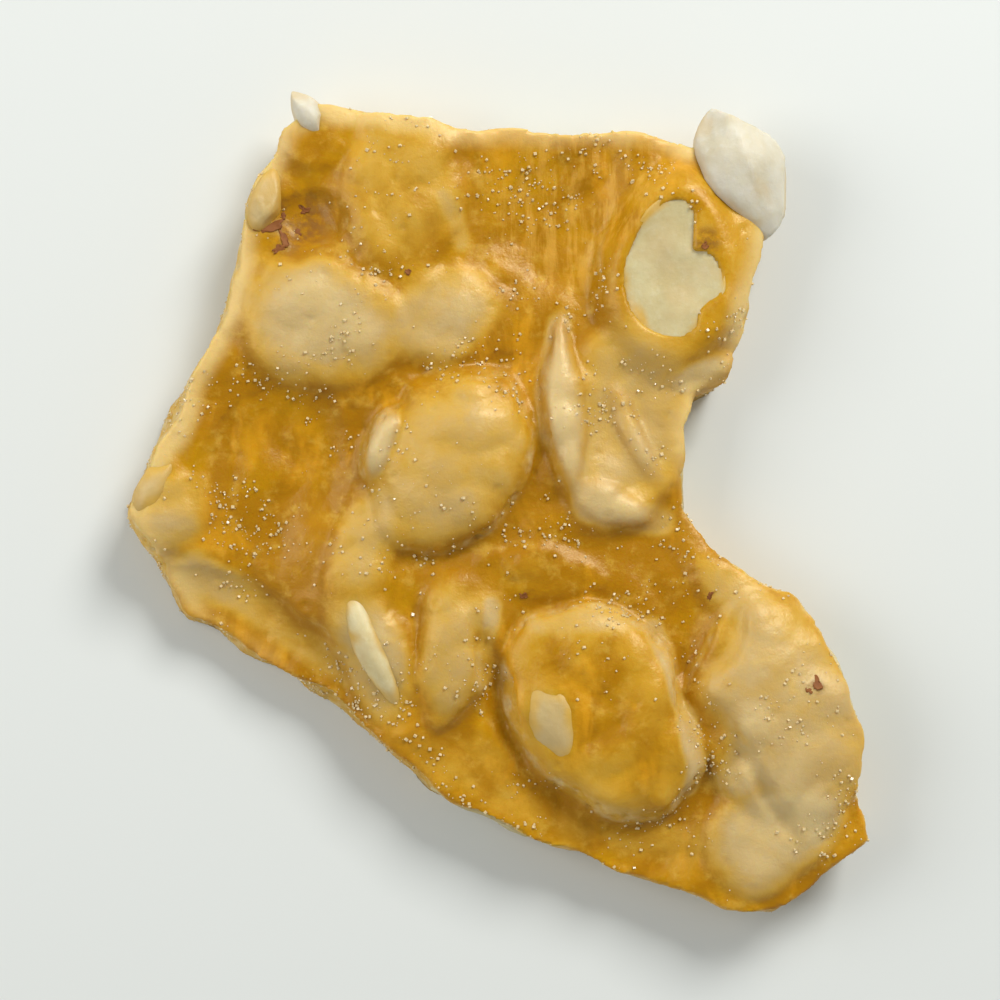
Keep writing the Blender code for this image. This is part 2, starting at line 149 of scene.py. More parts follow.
LUMPS = {
    "top_edge": Lump(-6.2, 19.0, 6.0, 3.9, 82, 1.1, foot=1.2, pale=0.34),
    "top_left_knob": Lump(-11.0, 22.6, 2.6, 1.9, 40, 0.7, pale=0.1),
    "left_pale": Lump(-10.9, 10.9, 5.4, 3.9, -12, 1.3, foot=1.9, taper=0.15, pale=0.95),
    "left_pale_tail": Lump(-3.8, 11.2, 4.2, 3.0, 25, 0.7, foot=1.3, pale=0.85),
    "centre_dome": Lump(-3.2, 2.4, 6.6, 5.0, 62, 2.5, flatness=2.6, foot=0.45, taper=-0.1, pale=0.55),
    "centre_kernel_end": Lump(-7.4, 3.6, 2.8, 1.1, 78, 2.3, foot=0.4, pale=0.95),
    "dome_skirt": Lump(-8.2, -2.4, 4.6, 2.4, 70, 0.9, foot=1.2, pale=0.6),
    "leaf": Lump(-2.6, -9.6, 5.4, 2.8, 76, 1.5, foot=0.8, taper=-0.45, pale=0.5),
    "sliver_bank": Lump(-7.7, -10.0, 5.4, 2.3, -66, 1.1, foot=0.8, pale=0.75),
    "notch_cup": Lump(7.6, 4.8, 6.8, 4.5, 80, 1.4, flatness=3.0, hollow=1.0, foot=0.7, pale=0.8),
    "cup_rim": Lump(4.0, 5.4, 5.6, 1.2, -86, 1.6, foot=0.7, pale=0.8),
    "cup_foot": Lump(6.8, -0.2, 2.8, 1.3, -22, 1.4, foot=0.6, pale=0.85),
    "cup_fold": Lump(8.2, 3.8, 4.4, 0.9, 118, 1.1, foot=0.5, pale=0.7),
    "notch_lip": Lump(12.2, 7.6, 2.8, 1.2, 20, 0.9, foot=0.6, pale=0.9),
    "top_right_bank": Lump(11.2, 14.8, 6.6, 4.9, 75, 1.4, flatness=3.0, pale=0.05),
    "plate": Lump(
        6.4, -13.1, 7.6, 5.5, -54, 2.4, flatness=4.0, hollow=0.3, foot=0.35, taper=0.02, pale=0.14
    ),
    "right_dome": Lump(17.2, -12.8, 7.6, 5.4, -74, 2.5, flatness=2.4, foot=0.9, taper=-0.12, pale=0.8),
    "right_foot": Lump(17.2, -20.4, 5.0, 3.2, 38, 1.1, flatness=2.4, foot=1.0, pale=1.1),
    "right_shoulder": Lump(14.8, -5.8, 3.8, 2.1, -35, 0.8, foot=1.0, pale=0.6),
    "left_corner": Lump(-19.8, -0.6, 2.8, 2.1, 70, 0.7, pale=0.5),
    "middle_ridge": Lump(2.6, -4.5, 4.4, 1.5, -4, 0.7, pale=0.3),
    "left_basin": Lump(-14.4, 2.2, 6.4, 4.2, 66, -0.8, foot=1.4),
    "top_basin": Lump(4.4, 17.6, 5.4, 3.6, 25, -0.6, foot=1.4),
    "bottom_basin": Lump(5.4, -20.6, 5.6, 2.2, -22, -0.6, foot=1.2),
    "lower_left_slope": Lump(-13.0, -9.4, 9.5, 2.6, -30, -1.3, foot=1.4),
    "crag": Lump(-11.6, 17.6, 2.4, 1.6, -20, -0.8, foot=0.5),
    "crease_left_of_plate": Lump(-0.2, -11.6, 5.0, 0.8, -72, -0.6, foot=0.5),
    "crease_right_of_plate": Lump(13.0, -13.4, 5.0, 0.9, -68, -0.5, foot=0.6),
    "crease_on_dome": Lump(16.0, -17.2, 4.4, 0.6, -58, -0.4, foot=0.3),
    "crease_on_shoulder": Lump(13.8, -8.6, 2.8, 0.6, 62, -0.4, foot=0.3),
    "crease_over_dome": Lump(-2.6, 8.2, 4.4, 0.7, 2, -0.4, foot=0.4),
}

# Pale bands where the toffee is thin or crushed: start, end, half width in millimetres, and strength
PALE_BANDS = (
    ((9.2, -7.6), (11.9, -12.6), 0.6, 0.9),
    ((11.9, -12.6), (11.8, -18.2), 0.6, 0.95),
    ((2.4, -7.2), (8.6, -7.2), 0.9, 0.55),
    ((3.6, 10.4), (3.4, 4.6), 1.0, 0.95),
    ((3.4, 4.6), (5.6, -0.2), 1.0, 0.9),
    ((5.6, -0.2), (9.6, -1.4), 1.1, 0.9),
    ((-3.6, 18.8), (-2.4, 15.8), 0.6, 0.5),
    ((14.6, -17.4), (15.6, -12.6), 1.6, 0.9),
    ((-0.4, -6.4), (-1.0, -11.6), 0.7, 0.8),
    ((-19.0, -4.6), (-9.5, -10.6), 1.3, 0.75),
    ((-6.5, -14.2), (4.0, -19.0), 1.8, 0.3),
    ((4.5, -19.8), (12.0, -21.6), 1.6, 0.45),
)

# Scorched patches in the poured face: place and radius in millimetres
BURNT_SPOTS = ((-12.4, 17.2, 3.0), (19.2, -11.4, 0.8), (12.6, 15.8, 1.2))

# Dark patches in the underside, where a peanut lies close behind it: place and radius in millimetres
UNDER_SPOTS = (
    (-8.0, 17.0, 2.6), (5.6, 8.2, 2.2), (14.8, -18.6, 2.4), (-15.6, -1.4, 1.8), (2.2, -14.0, 1.6),
)
UNDER_BURNT = 0.7

# Where strings of toffee run towards the top edge: place and radius in millimetres
STRINGS = (4.6, 18.2, 8.5)

# Deeper amber where the toffee pools, partly painted shade in the dips and creases: start, end, half width
# in millimetres, and strength
DEEP_AND_SHADE_BANDS = (
    ((1.6, -3.4), (10.4, -4.8), 2.2, 0.8),
    ((-17.0, 7.0), (-11.6, -5.4), 3.4, 0.6),
    ((-0.6, 8.0), (2.0, 13.0), 2.0, 0.5),
    ((-11.2, 7.0), (-8.0, 6.6), 1.2, 0.6),
    ((-0.6, -8.8), (0.2, -13.6), 0.8, 1.0),
)


class Kernel(NamedTuple):
    """A peanut kernel, or a broken piece of one, that shows at the surface."""

    x: float
    y: float
    length: float
    width: float
    depth: float
    turn: float  # degrees, of the long axis from +X
    z: float = 0.0  # height of its middle, where proud gives none
    proud: float = 0.0  # how far its top stands above the poured face
    roll: float = 0.0  # degrees, about the long axis
    point: float = 0.0  # how pointed both ends are
    notch: float = 0.0  # how deep a bite is broken out of its side
    split: bool = False  # a half kernel, its dished inner face up
    torn: bool = False  # cut off by the broken edge


KERNELS = {
    "peanut_top_right": Kernel(10.6, 14.2, 9.2, 6.4, 6.0, 84, proud=0.3, roll=-5, split=True, notch=0.52),
    "peanut_corner": Kernel(15.0, 20.0, 9.4, 5.6, 4.4, -66, z=4.0, point=0.3),
    "peanut_sliver": Kernel(-7.9, -9.0, 9.6, 2.6, 4.4, -66, proud=0.35),
    "peanut_window": Kernel(3.7, -13.7, 7.2, 4.2, 3.4, -64, proud=0.25),
    "peanut_tip": Kernel(-11.8, 23.8, 3.8, 2.0, 2.6, 125, z=3.8, point=0.3),
    "peanut_left_edge": Kernel(-14.5, 18.5, 4.6, 2.2, 2.8, 75, z=3.7),
    "peanut_left_corner": Kernel(-21.3, 0.9, 5.2, 2.4, 3.0, 62, z=3.2),
    "peanut_notch_wall": Kernel(10.2, 3.0, 8.8, 5.4, 3.4, 84, z=2.5, torn=True),
    "peanut_right_wall": Kernel(20.2, -12.6, 9.6, 6.4, 4.2, -70, z=2.8, torn=True),
    "peanut_front_wall": Kernel(-0.6, -18.8, 8.0, 4.4, 2.3, -25, z=1.8, torn=True),
    "peanut_top_wall": Kernel(3.2, 22.6, 8.4, 4.2, 2.3, 4, z=2.0, torn=True),
    "peanut_under_centre": Kernel(-3.2, 2.4, 7.0, 5.0, 3.6, 50, z=1.5),
    "peanut_under_left": Kernel(-11.0, 9.6, 8.0, 5.0, 3.0, -12, z=1.2),
    "peanut_under_front": Kernel(8.8, -15.2, 6.2, 4.6, 3.2, 30, z=1.4),
}

KERNEL_LOWEST = 0.02 * MM  # height of the flat face of a kernel that shows in the underside
SPLIT_SHADE_MIDDLE = (1.3, 0.9)  # middle of the painted shade in the split kernel's dished face, along and across it, in millimetres
SPLIT_COVER = (13.6, 10.9, 2.6)  # place and radius of the toffee that laps over it, in millimetres

# Dark, light and brightest colour of each kind of kernel
KERNEL_COLOURS = {
    "roasted_kernel": ((0.50, 0.40, 0.18, 1), (0.57, 0.49, 0.255, 1), (0.62, 0.56, 0.36, 1)),
    "blanched_kernel": ((0.56, 0.50, 0.35, 1), (0.62, 0.58, 0.46, 1), (0.68, 0.65, 0.56, 1)),
    "filmed_kernel": ((0.47, 0.33, 0.12, 1), (0.54, 0.40, 0.165, 1), (0.59, 0.47, 0.24, 1)),
    # A lightened copy of the roasted kernel: painted light for the sliver, whose side falls in shade
    "painted_light_kernel": ((0.61, 0.49, 0.23, 1), (0.69, 0.59, 0.32, 1), (0.74, 0.67, 0.43, 1)),
}

# The kind of each kernel that isn't a roasted_kernel
KERNEL_KINDS = {
    "peanut_corner": "blanched_kernel",
    "peanut_tip": "blanched_kernel",
    "peanut_window": "filmed_kernel",
    "peanut_left_edge": "filmed_kernel",
    "peanut_left_corner": "filmed_kernel",
    # The sliver gets the lightened copy, painted light against its shade
    "peanut_sliver": "painted_light_kernel",
}

# Kernels that stand clear of the toffee, and broken ones with flat facets
PROUD_CHIPS = ("peanut_corner", "peanut_tip", "peanut_sliver", "peanut_window")
CHIPPED = ("peanut_corner", "peanut_tip", "peanut_left_edge", "peanut_left_corner")
FACETS = 7
FACET_REACH = (0.78, 0.92)  # how far from the middle a facet lies, as a share of the kernel's reach

# Sugar grains: how many, smallest and largest, seed of their places, and share of those that fall underneath
GRAIN_COUNT = 4200
GRAIN_SIZES = (0.045 * MM, 0.19 * MM)
GRAIN_SEED = 5
GRAINS_UNDER = 0.3

# Scraps of red-brown peanut skin stuck to the toffee: place, length, width in millimetres, turn in degrees
FLAKES = (
    (-14.2, 16.8, 1.7, 0.5, 38), (-13.3, 16.1, 0.9, 0.4, -20), (-12.2, 18.0, 0.6, 0.4, 80),
    (-13.6, 15.5, 0.8, 0.4, 10), (-12.5, 16.6, 0.5, 0.3, 120), (-13.4, 17.6, 0.5, 0.3, 150),
    (19.3, -11.2, 0.8, 0.5, -60), (18.8, -11.6, 0.4, 0.3, 20), (12.5, 15.5, 0.4, 0.3, 35),
    (1.4, -5.9, 0.4, 0.3, 15), (12.9, -5.9, 0.5, 0.3, -35), (-5.6, 14.0, 0.4, 0.3, 70),
)
FLAKE_THICKNESS = 0.05 * MM


# Shape of the shard, as in the solids


def tear(x, y, z):
    """How far the break strays at a point, from one coarse and one fine swirl that never fold it over."""
    coarse = noise.noise_vector(Vector((x, y, COARSE_TEAR_RISE * z)) / (COARSE_TEAR_SIZE * MM))
    fine = noise.noise_vector(Vector((x, y, FINE_TEAR_RISE * z)) / (FINE_TEAR_SIZE * MM))
    return COARSE_TEAR * MM * coarse.xy + FINE_TEAR * MM * fine.xy


def lean(x, y, z):
    """How far the wall stands out at this height: its foot is wider on the side that LEAN_TOWARDS names."""
    outward = Vector((x, y)).normalized()
    share = outward.dot(Vector((math.cos(LEAN_TOWARDS), math.sin(LEAN_TOWARDS))))
    return outward * (SHEET_THICKNESS - z) * LEAN_SLOPE * share


def edge_point(point, z, grow=0.0):
    """Where a point of the outline lies on the broken wall at this height."""
    x, y = point
    spot = point + tear(x, y, z) + lean(x, y, z)
    spot += spot.normalized() * grow
    return Vector((spot.x, spot.y, z))


def outline_points(step):
    """The outline in metres, with points no further apart than step."""
    corners = [Vector(corner) * MM for corner in OUTLINE]
    points = []
    for start, end in zip(corners, corners[1:] + corners[:1]):
        pieces = max(1, round((end - start).length / step))
        points += [start.lerp(end, i / pieces) for i in range(pieces)]
    return points


def wander(x, y):
    """Shifts places in millimetres a little, so that no lump keeps an even outline."""
    shifts = np.array([
        WIDE_WANDER * noise.noise_vector(Vector((a, b, 0.0)) / WIDE_SWIRL)
        + FINE_WANDER * noise.noise_vector(Vector((a, b, FINE_LAYER)) / FINE_SWIRL)
        for a, b in zip(x, y)
    ])
    return x + shifts[:, 0], y + shifts[:, 1]


def lump_radius(lump, x, y):
    """Distance from a lump's middle, 1 at its outline, at arrays of places in millimetres."""
    turn = math.radians(lump.turn)
    along = (x - lump.x) * math.cos(turn) + (y - lump.y) * math.sin(turn)
    across = (y - lump.y) * math.cos(turn) - (x - lump.x) * math.sin(turn)
    narrow = 1 - lump.taper * np.clip(along / lump.half_length, -1.2, 1.2)
    return np.hypot(along / lump.half_length, across / (lump.half_width * narrow))


def lump_height(lump, x, y):
    """Height of one lump above the sheet, or depth of a hollow, at arrays of places in millimetres."""
    radius = lump_radius(lump, x, y)
    size = abs(lump.rise)
    inside = size * np.clip(1 - radius**lump.flatness, 0, 1) ** 0.5
    outside = size * LUMP_FALL * np.clip(radius - 1, 0, 2)
    cap = inside - outside - lump.hollow * np.clip(1 - HOLLOW_REACH * radius**2, 0, 1)
    soft = (cap + np.hypot(cap, lump.foot)) / 2
    return math.copysign(1, lump.rise) * soft


def folds(x, y):
    """Round swells with a crease between them, at arrays of places in millimetres."""
    return np.array([abs(noise.noise(Vector((a, b, FOLD_LAYER)) / FOLD_SIZE)) for a, b in zip(x, y)])


def top_height(x, y):
    """Height of the poured face at arrays of places in metres."""
    x, y = x / MM, y / MM
    swell = SWELL_HEIGHT * np.sin(SWELL_WAVE[0] * x + SWELL_START[0])
    swell *= np.cos(SWELL_WAVE[1] * y + SWELL_START[1])
    swell += FOLD_HEIGHT * (folds(x, y) - FOLD_MIDDLE)
    x, y = wander(x, y)
    up = [lump_height(lump, x, y) for lump in LUMPS.values() if lump.rise > 0]
    down = [lump_height(lump, x, y) for lump in LUMPS.values() if lump.rise < 0]
    rise = sum(height**BLEND_POWER for height in up) ** (1 / BLEND_POWER)
    return SHEET_THICKNESS + (swell + rise + sum(down)) * MM


# Mesh helpers


def new_object(name, mesh):
    obj = bpy.data.objects.new(name, mesh)
    bpy.context.scene.collection.objects.link(obj)
    return obj


def mesh_from(bm, name):
    mesh = bpy.data.meshes.new(name)
    bm.to_mesh(mesh)
    bm.free()
    return mesh


def apply_modifiers(obj):
    """Replaces the mesh by the result of its modifiers."""
    depsgraph = bpy.context.evaluated_depsgraph_get()
    mesh = bpy.data.meshes.new_from_object(obj.evaluated_get(depsgraph))
    obj.modifiers.clear()
    obj.data = mesh


def combine(obj, other, operation):
    """One Boolean between two closed meshes, applied."""
    modifier = obj.modifiers.new(operation.title(), "BOOLEAN")
    modifier.operation = operation
    modifier.object = other
    modifier.solver = "MANIFOLD"
    apply_modifiers(obj)


def coordinates(mesh):
    co = np.empty(3 * len(mesh.vertices), np.float32)
    mesh.vertices.foreach_get("co", co)
    return co.reshape(-1, 3).astype(float)


def normals(mesh):
    no = np.empty(3 * len(mesh.vertices), np.float32)
    mesh.vertices.foreach_get("normal", no)
    return no.reshape(-1, 3).astype(float)


def set_coordinates(mesh, co):
    mesh.vertices.foreach_set("co", co.astype(np.float32).ravel())
    mesh.update()


def store(mesh, name, values):
    """Keeps one number for each vertex, for the material to read."""
    attribute = mesh.attributes.new(name, "FLOAT", "POINT")
    attribute.data.foreach_set("value", np.clip(values, 0, 1).astype(np.float32))


def noise_at(points, size, seed):
    """Smooth noise from -1 to 1 at each point, with features of this size."""
    offset = Vector((seed, 2 * seed, 3 * seed))
    return np.array([noise.noise(Vector(p) / size + offset) for p in points])


def ripples(points, height, size, seed):
    """Height of smooth ripples at each point. Height and size are in millimetres."""
    return height * noise_at(points, size * MM, seed)


def pits(points, depth, cell, reach, seed):
    """Depth of bubbles' pits at each point. Depth and cell are in millimetres, and reach in cells."""
    offset = Vector((seed, 2 * seed, 3 * seed))
    nearest = np.array([noise.voronoi(Vector(p) / (cell * MM) + offset)[0][0] for p in points])
    return depth * np.clip(1 - nearest / reach, 0, 1)


def smooth(values, low, high):
    """0 below low and 1 above high, with a smooth way between."""
    share = np.clip((values - low) / (high - low), 0, 1)
    return share * share * (3 - 2 * share)


# Toffee


def break_cutter(name, grow=0.0):
    """The block that the break leaves: rings of the torn outline, one above another."""
    low, high = BREAK_RANGE
    points = outline_points(EDGE_STEP)
    levels = np.linspace(low, high, 1 + round((high - low) / EDGE_STEP))
    count = len(points)
    bm = bmesh.new()
    rings = [[bm.verts.new(edge_point(p, z, grow)) for p in points] for z in levels]
    for lower, upper in zip(rings, rings[1:]):
        for i in range(count):
            j = (i + 1) % count
            bm.faces.new((lower[i], upper[i], upper[j], lower[j]))
    bm.faces.new(rings[0])
    bm.faces.new(reversed(rings[-1]))
    bmesh.ops.recalc_face_normals(bm, faces=bm.faces)
    bmesh.ops.triangulate(bm, faces=[f for f in bm.faces if len(f.verts) > 4])
    return new_object(name, mesh_from(bm, name))


def poured_sheet(name):
    """A slab wider than the shard, its upper face raised over each peanut."""
    count = round(SHEET_SIZE / SHEET_STEP)
    bm = bmesh.new()
    bmesh.ops.create_grid(bm, x_segments=count, y_segments=count, size=SHEET_SIZE / 2)
    sheet = new_object(name, mesh_from(bm, name))
    solidify = sheet.modifiers.new("Thickness", "SOLIDIFY")
    solidify.thickness = SHEET_BELOW
    solidify.offset = -1.0
    apply_modifiers(sheet)
    co = coordinates(sheet.data)
    upper = co[:, 2] > -SHEET_BELOW / 2
    co[upper, 2] = top_height(co[upper, 0], co[upper, 1])
    co[~upper, 2] = 0.0
    set_coordinates(sheet.data, co)
    return sheet


def kernel_middle(kernel):
    """Height of a kernel's middle in millimetres."""
    if kernel.proud == 0.0:
        return kernel.z
    face = top_height(np.array([kernel.x * MM]), np.array([kernel.y * MM]))[0] / MM
    top = 0.0 if kernel.split else kernel.depth / 2
    return face + kernel.proud - top


def kernel_point(kernel, vert, half):
    """Where a point of the unit sphere lies on a kernel, in the kernel's own frame."""
    x, y, z = vert
    away = (math.atan2(y, x) - NOTCH_TOWARDS + math.pi) % math.tau - math.pi
    bite = 1 - kernel.notch * math.exp(-((away / NOTCH_WIDTH) ** 2))
    x, y = x * bite, y * bite
    narrow = 1 - KERNEL_TAPER * x - (kernel.point + KERNEL_POINT) * x * x
    if kernel.split and z > 0:
        z = -SPLIT_DISH * (1 - min(1.0, x * x + y * y))
    return Vector((x * half.x, y * half.y * narrow, z * half.z * narrow))


def kernel_radius(kernel, x, y):
    """Distance from a kernel's middle, 1 at its outline from above, at arrays of places in millimetres."""
    turn = math.radians(kernel.turn)
    along = ((x - kernel.x) * math.cos(turn) + (y - kernel.y) * math.sin(turn)) / (kernel.length / 2)
    across = ((y - kernel.y) * math.cos(turn) - (x - kernel.x) * math.sin(turn)) / (kernel.width / 2)
    narrow = 1 - KERNEL_TAPER * along - (kernel.point + KERNEL_POINT) * along**2
    across = across / np.maximum(narrow, 0.2)
    away = (np.arctan2(across, along) - NOTCH_TOWARDS + math.pi) % math.tau - math.pi
    bite = 1 - kernel.notch * np.exp(-((away / NOTCH_WIDTH) ** 2))
    return np.hypot(along, across) / bite


def kernel_place(kernel):
    """The matrix that lays a kernel in the shard."""
    turn = Matrix.Rotation(math.radians(kernel.turn), 4, "Z")
    roll = Matrix.Rotation(math.radians(kernel.roll), 4, "X")
    place = Vector((kernel.x, kernel.y, kernel_middle(kernel))) * MM
    return Matrix.Translation(place) @ turn @ roll


def split_face(kernel, co):
    """Height of the plane of a split kernel's inner face at these places."""
    place = kernel_place(kernel)
    middle, normal = place.translation, place.to_3x3().col[2]
    return middle.z - (normal.x * (co[:, 0] - middle.x) + normal.y * (co[:, 1] - middle.y)) / normal.z


def kernel_mesh(name, kernel):
    """A kernel as a tapered ellipsoid, or a split one with a dished flat face, placed where it lies."""
    bm = bmesh.new()
    bmesh.ops.create_uvsphere(bm, u_segments=KERNEL_SEGMENTS, v_segments=KERNEL_RINGS, radius=1.0)
    half = Vector((kernel.length, kernel.width, kernel.depth)) * (MM / 2)
    for vert in bm.verts:
        vert.co = kernel_point(kernel, vert.co, half)
    bmesh.ops.transform(bm, matrix=kernel_place(kernel), verts=bm.verts)
    bmesh.ops.recalc_face_normals(bm, faces=bm.faces)
    return mesh_from(bm, name)


def blurred_drop(x, y):
    """How far the poured face lies below its own surroundings, in metres: negative on a crest."""
    step, reach = DROP_STEP, POOL_REACH
    axis = np.arange(-SHEET_SIZE / 2, SHEET_SIZE / 2 + step, step)
    gx, gy = np.meshgrid(axis, axis, indexing="ij")
    heights = top_height(gx.ravel(), gy.ravel()).reshape(gx.shape)
    spread = np.arange(-round(3 * reach / step), round(3 * reach / step) + 1) * step
    weights = np.exp(-0.5 * (spread / reach) ** 2)
    weights /= weights.sum()
    pad = len(weights) // 2
    wide = np.pad(heights, pad, mode="edge")
    wide = np.apply_along_axis(lambda row: np.convolve(row, weights, mode="valid"), 0, wide)
    wide = np.apply_along_axis(lambda row: np.convolve(row, weights, mode="valid"), 1, wide)
    drop = wide - heights
    u = np.clip((x - axis[0]) / step, 0, len(axis) - 1.001)
    v = np.clip((y - axis[0]) / step, 0, len(axis) - 1.001)
    i, j = u.astype(int), v.astype(int)
    a, b = u - i, v - j
    return (
        (1 - a) * (1 - b) * drop[i, j] + a * (1 - b) * drop[i + 1, j]
        + (1 - a) * b * drop[i, j + 1] + a * b * drop[i + 1, j + 1]
    )


def spot_weight(co, x, y, radius):
    """1 in the middle of a spot on the poured face and 0 outside its radius, in millimetres."""
    away = np.hypot(co[:, 0] / MM - x, co[:, 1] / MM - y)
    return smooth(-away, -radius, -0.3 * radius)


def band_weight(co, start, end, half_width):
    """1 along the middle of a band on the poured face and 0 outside it, in millimetres."""
    start, end = np.array(start), np.array(end)
    x, y = wander(co[:, 0] / MM, co[:, 1] / MM)
    along = end - start
    share = np.clip(((x - start[0]) * along[0] + (y - start[1]) * along[1]) / (along @ along), 0, 1)
    away = np.hypot(x - start[0] - share * along[0], y - start[1] - share * along[1])
    return smooth(-away, -1.6 * half_width, -0.4 * half_width)


def crease_shade_weight(raised, x, y):
    """1 on the line of painted shade round each lump with a crisp foot, at arrays of places in millimetres.
    """
    crease = np.zeros(len(x))
    for lump in raised:
        if lump.foot > CRISP_FOOT:
            continue
        away = (lump_radius(lump, x, y) - CREASE_SHADE_RADIUS) * lump.half_width
        others = [lump_height(other, x, y) for other in raised if other is not lump]
        above = lump_height(lump, x, y) - np.max(others, axis=0)
        line = np.exp(-((away / CREASE_SHADE_WIDTH) ** 2))
        crease = np.maximum(crease, line * smooth(above, -0.5, 0.3))
    return crease


def edge_highlight_weight(co):
    """Painted highlight along the torn edge: 1 at the edge and 0 from the given width inside it, patchy, and
    fainter towards the lower right, away from where the light falls.
    """
    edge = [edge_point(p, EDGE_HIGHLIGHT_HEIGHT) for p in outline_points(EDGE_STEP)]
    tree = kdtree.KDTree(len(edge))
    for i, spot in enumerate(edge):
        tree.insert((spot.x, spot.y, 0.0), i)
    tree.balance()
    near = np.array([tree.find((p[0], p[1], 0.0))[2] for p in co])
    length = np.hypot(co[:, 0], co[:, 1]) + MM
    upper_left = (co[:, 1] - 0.2 * co[:, 0]) / length
    patchy = 0.95 + 0.5 * noise_at(co, 3.1 * MM, 43.0)
    return (1 - near / EDGE_HIGHLIGHT_WIDTH) * patchy * (0.25 + 0.75 * smooth(upper_left, -0.6, 0.3))


def toffee_looks(mesh, co, no):
    """Keeps what the toffee's material has to know at each point, and returns its wall and underside."""
    wall = smooth(-np.abs(no[:, 2]), -0.75, -0.45)
    under = smooth(-no[:, 2], 0.6, 0.85)
    store(mesh, "wall", wall)
    store(mesh, "under", under)
    x, y = wander(co[:, 0] / MM, co[:, 1] / MM)
    raised = [lump for lump in LUMPS.values() if lump.rise > 0]
    cover = [lump.pale * smooth(-lump_radius(lump, x, y), -1.35, -0.4) for lump in raised]
    cover += [strength * band_weight(co, *band) for *band, strength in PALE_BANDS]
    store(mesh, "pale", np.max(cover, axis=0))
    # The crease attribute is painted shade: a dark line round each lump with a crisp foot
    store(mesh, "crease", crease_shade_weight(raised, x, y))
    # Partly painted shade: darker where the face dips below its surroundings and paler on crests, with
    # deeper amber where the toffee pools
    deep = np.max([strength * band_weight(co, *band) for *band, strength in DEEP_AND_SHADE_BANDS], axis=0)
    store(mesh, "pool", 0.5 + blurred_drop(co[:, 0], co[:, 1]) / POOL_DEPTH + 0.35 * deep)
    # Painted highlight and glow along the torn edge, brightest on the upper side
    store(mesh, "rim", edge_highlight_weight(co))
    burnt = np.max([spot_weight(co, *spot) for spot in BURNT_SPOTS], axis=0) * (1 - under)
    for spot in UNDER_SPOTS:
        burnt = np.maximum(burnt, UNDER_BURNT * under * spot_weight(co, *spot))
    store(mesh, "burnt", burnt)
    store(mesh, "streaks", spot_weight(co, *STRINGS))
    return wall, under


def kernel_beds(co, no):
    """How far the toffee sinks behind a bare kernel, or climbs up round a split one, in millimetres."""
    x, y = co[:, 0] / MM, co[:, 1] / MM
    above, below = smooth(no[:, 2], 0.3, 0.7), smooth(-no[:, 2], 0.3, 0.7)
    rise = np.zeros(len(co))
    for kernel in KERNELS.values():
        radius = kernel_radius(kernel, x, y)
        if kernel.split:
            # Toffee sinks below the bare face and laps over its edge, furthest at SPLIT_COVER
            whole = kernel_radius(kernel._replace(notch=0.0), x, y)
            cover = spot_weight(co, *SPLIT_COVER)
            shore = radius + np.maximum(0.12 * noise_at(co, 1.5 * MM, 41.0) + 0.3 * cover, 0.07)
            rise -= 0.6 * above * smooth(-shore, -1.0, -0.86)
            collar = smooth(shore, 0.86, 1.0) * smooth(-whole, -1.6, -1.0)
            lap = 0.06 + 0.2 * cover + 0.1 * noise_at(co, 1.7 * MM, 45.0)
            bank = (split_face(kernel, co) - co[:, 2]) / MM + lap
            rise += above * collar * np.maximum(bank, 0)
        elif kernel_middle(kernel) < kernel.depth / 2:
            # The underside cuts this kernel off, at this share of its radius
            cut = math.sqrt(1 - (2 * kernel.z / kernel.depth) ** 2)
            shore = radius / cut + 0.22 * noise_at(co, 1.3 * MM, 47.0)
            rise += 0.5 * below * smooth(-shore, -0.96, -0.84)
    return rise


def make_toffee():
    """The torn sheet at a fine resolution, with ripples, crags, bubble pits and beds for the kernels."""
    toffee = poured_sheet("toffee_skin")
    cutter = break_cutter("break")
    combine(toffee, cutter, "INTERSECT")
    bpy.data.objects.remove(cutter)
    remesh = toffee.modifiers.new("Even", "REMESH")
    remesh.mode = "VOXEL"
    remesh.voxel_size = VOXEL
    apply_modifiers(toffee)
    mesh = toffee.data
    co = coordinates(mesh)
    co[co[:, 2] < 0.6 * VOXEL, 2] = 0.0
    set_coordinates(mesh, co)
    no = normals(mesh)
    wall, under = toffee_looks(mesh, co, no)

    # Fine relief: ripples and a few bubbles on the poured face, crags and many bubbles on the walls
    face = ripples(co, *WIDE_RIPPLE) + ripples(co, *FINE_RIPPLE) - pits(co, *FACE_PITS)
    crag = SHELLS[0] * SHELL_RIM - pits(co, *SHELLS) + ripples(co, *WALL_RIPPLE)
    crag -= pits(co, *WIDE_PITS) + pits(co, *FINE_PITS)
    push = (1 - wall) * face + wall * crag
    co += no * (push * (1 - under) * MM)[:, None]
    co[:, 2] += kernel_beds(co, no) * MM
    co[under > 0.5, 2] += pits(co[under > 0.5], *UNDER_PITS) * MM
    co[:, 2] = np.maximum(co[:, 2], 0.0)
    set_coordinates(mesh, co)
    mesh.shade_smooth()
    return toffee


def chip(co, middle, seed):
    """Breaks flat facets off a kernel, each across one of its corners."""
    rng = np.random.default_rng(round(abs(seed)))
    for direction in rng.normal(size=(FACETS, 3)):
        direction /= np.linalg.norm(direction)
        reach = (co - middle) @ direction
        co -= np.maximum(reach - rng.uniform(*FACET_REACH) * reach.max(), 0)[:, None] * direction


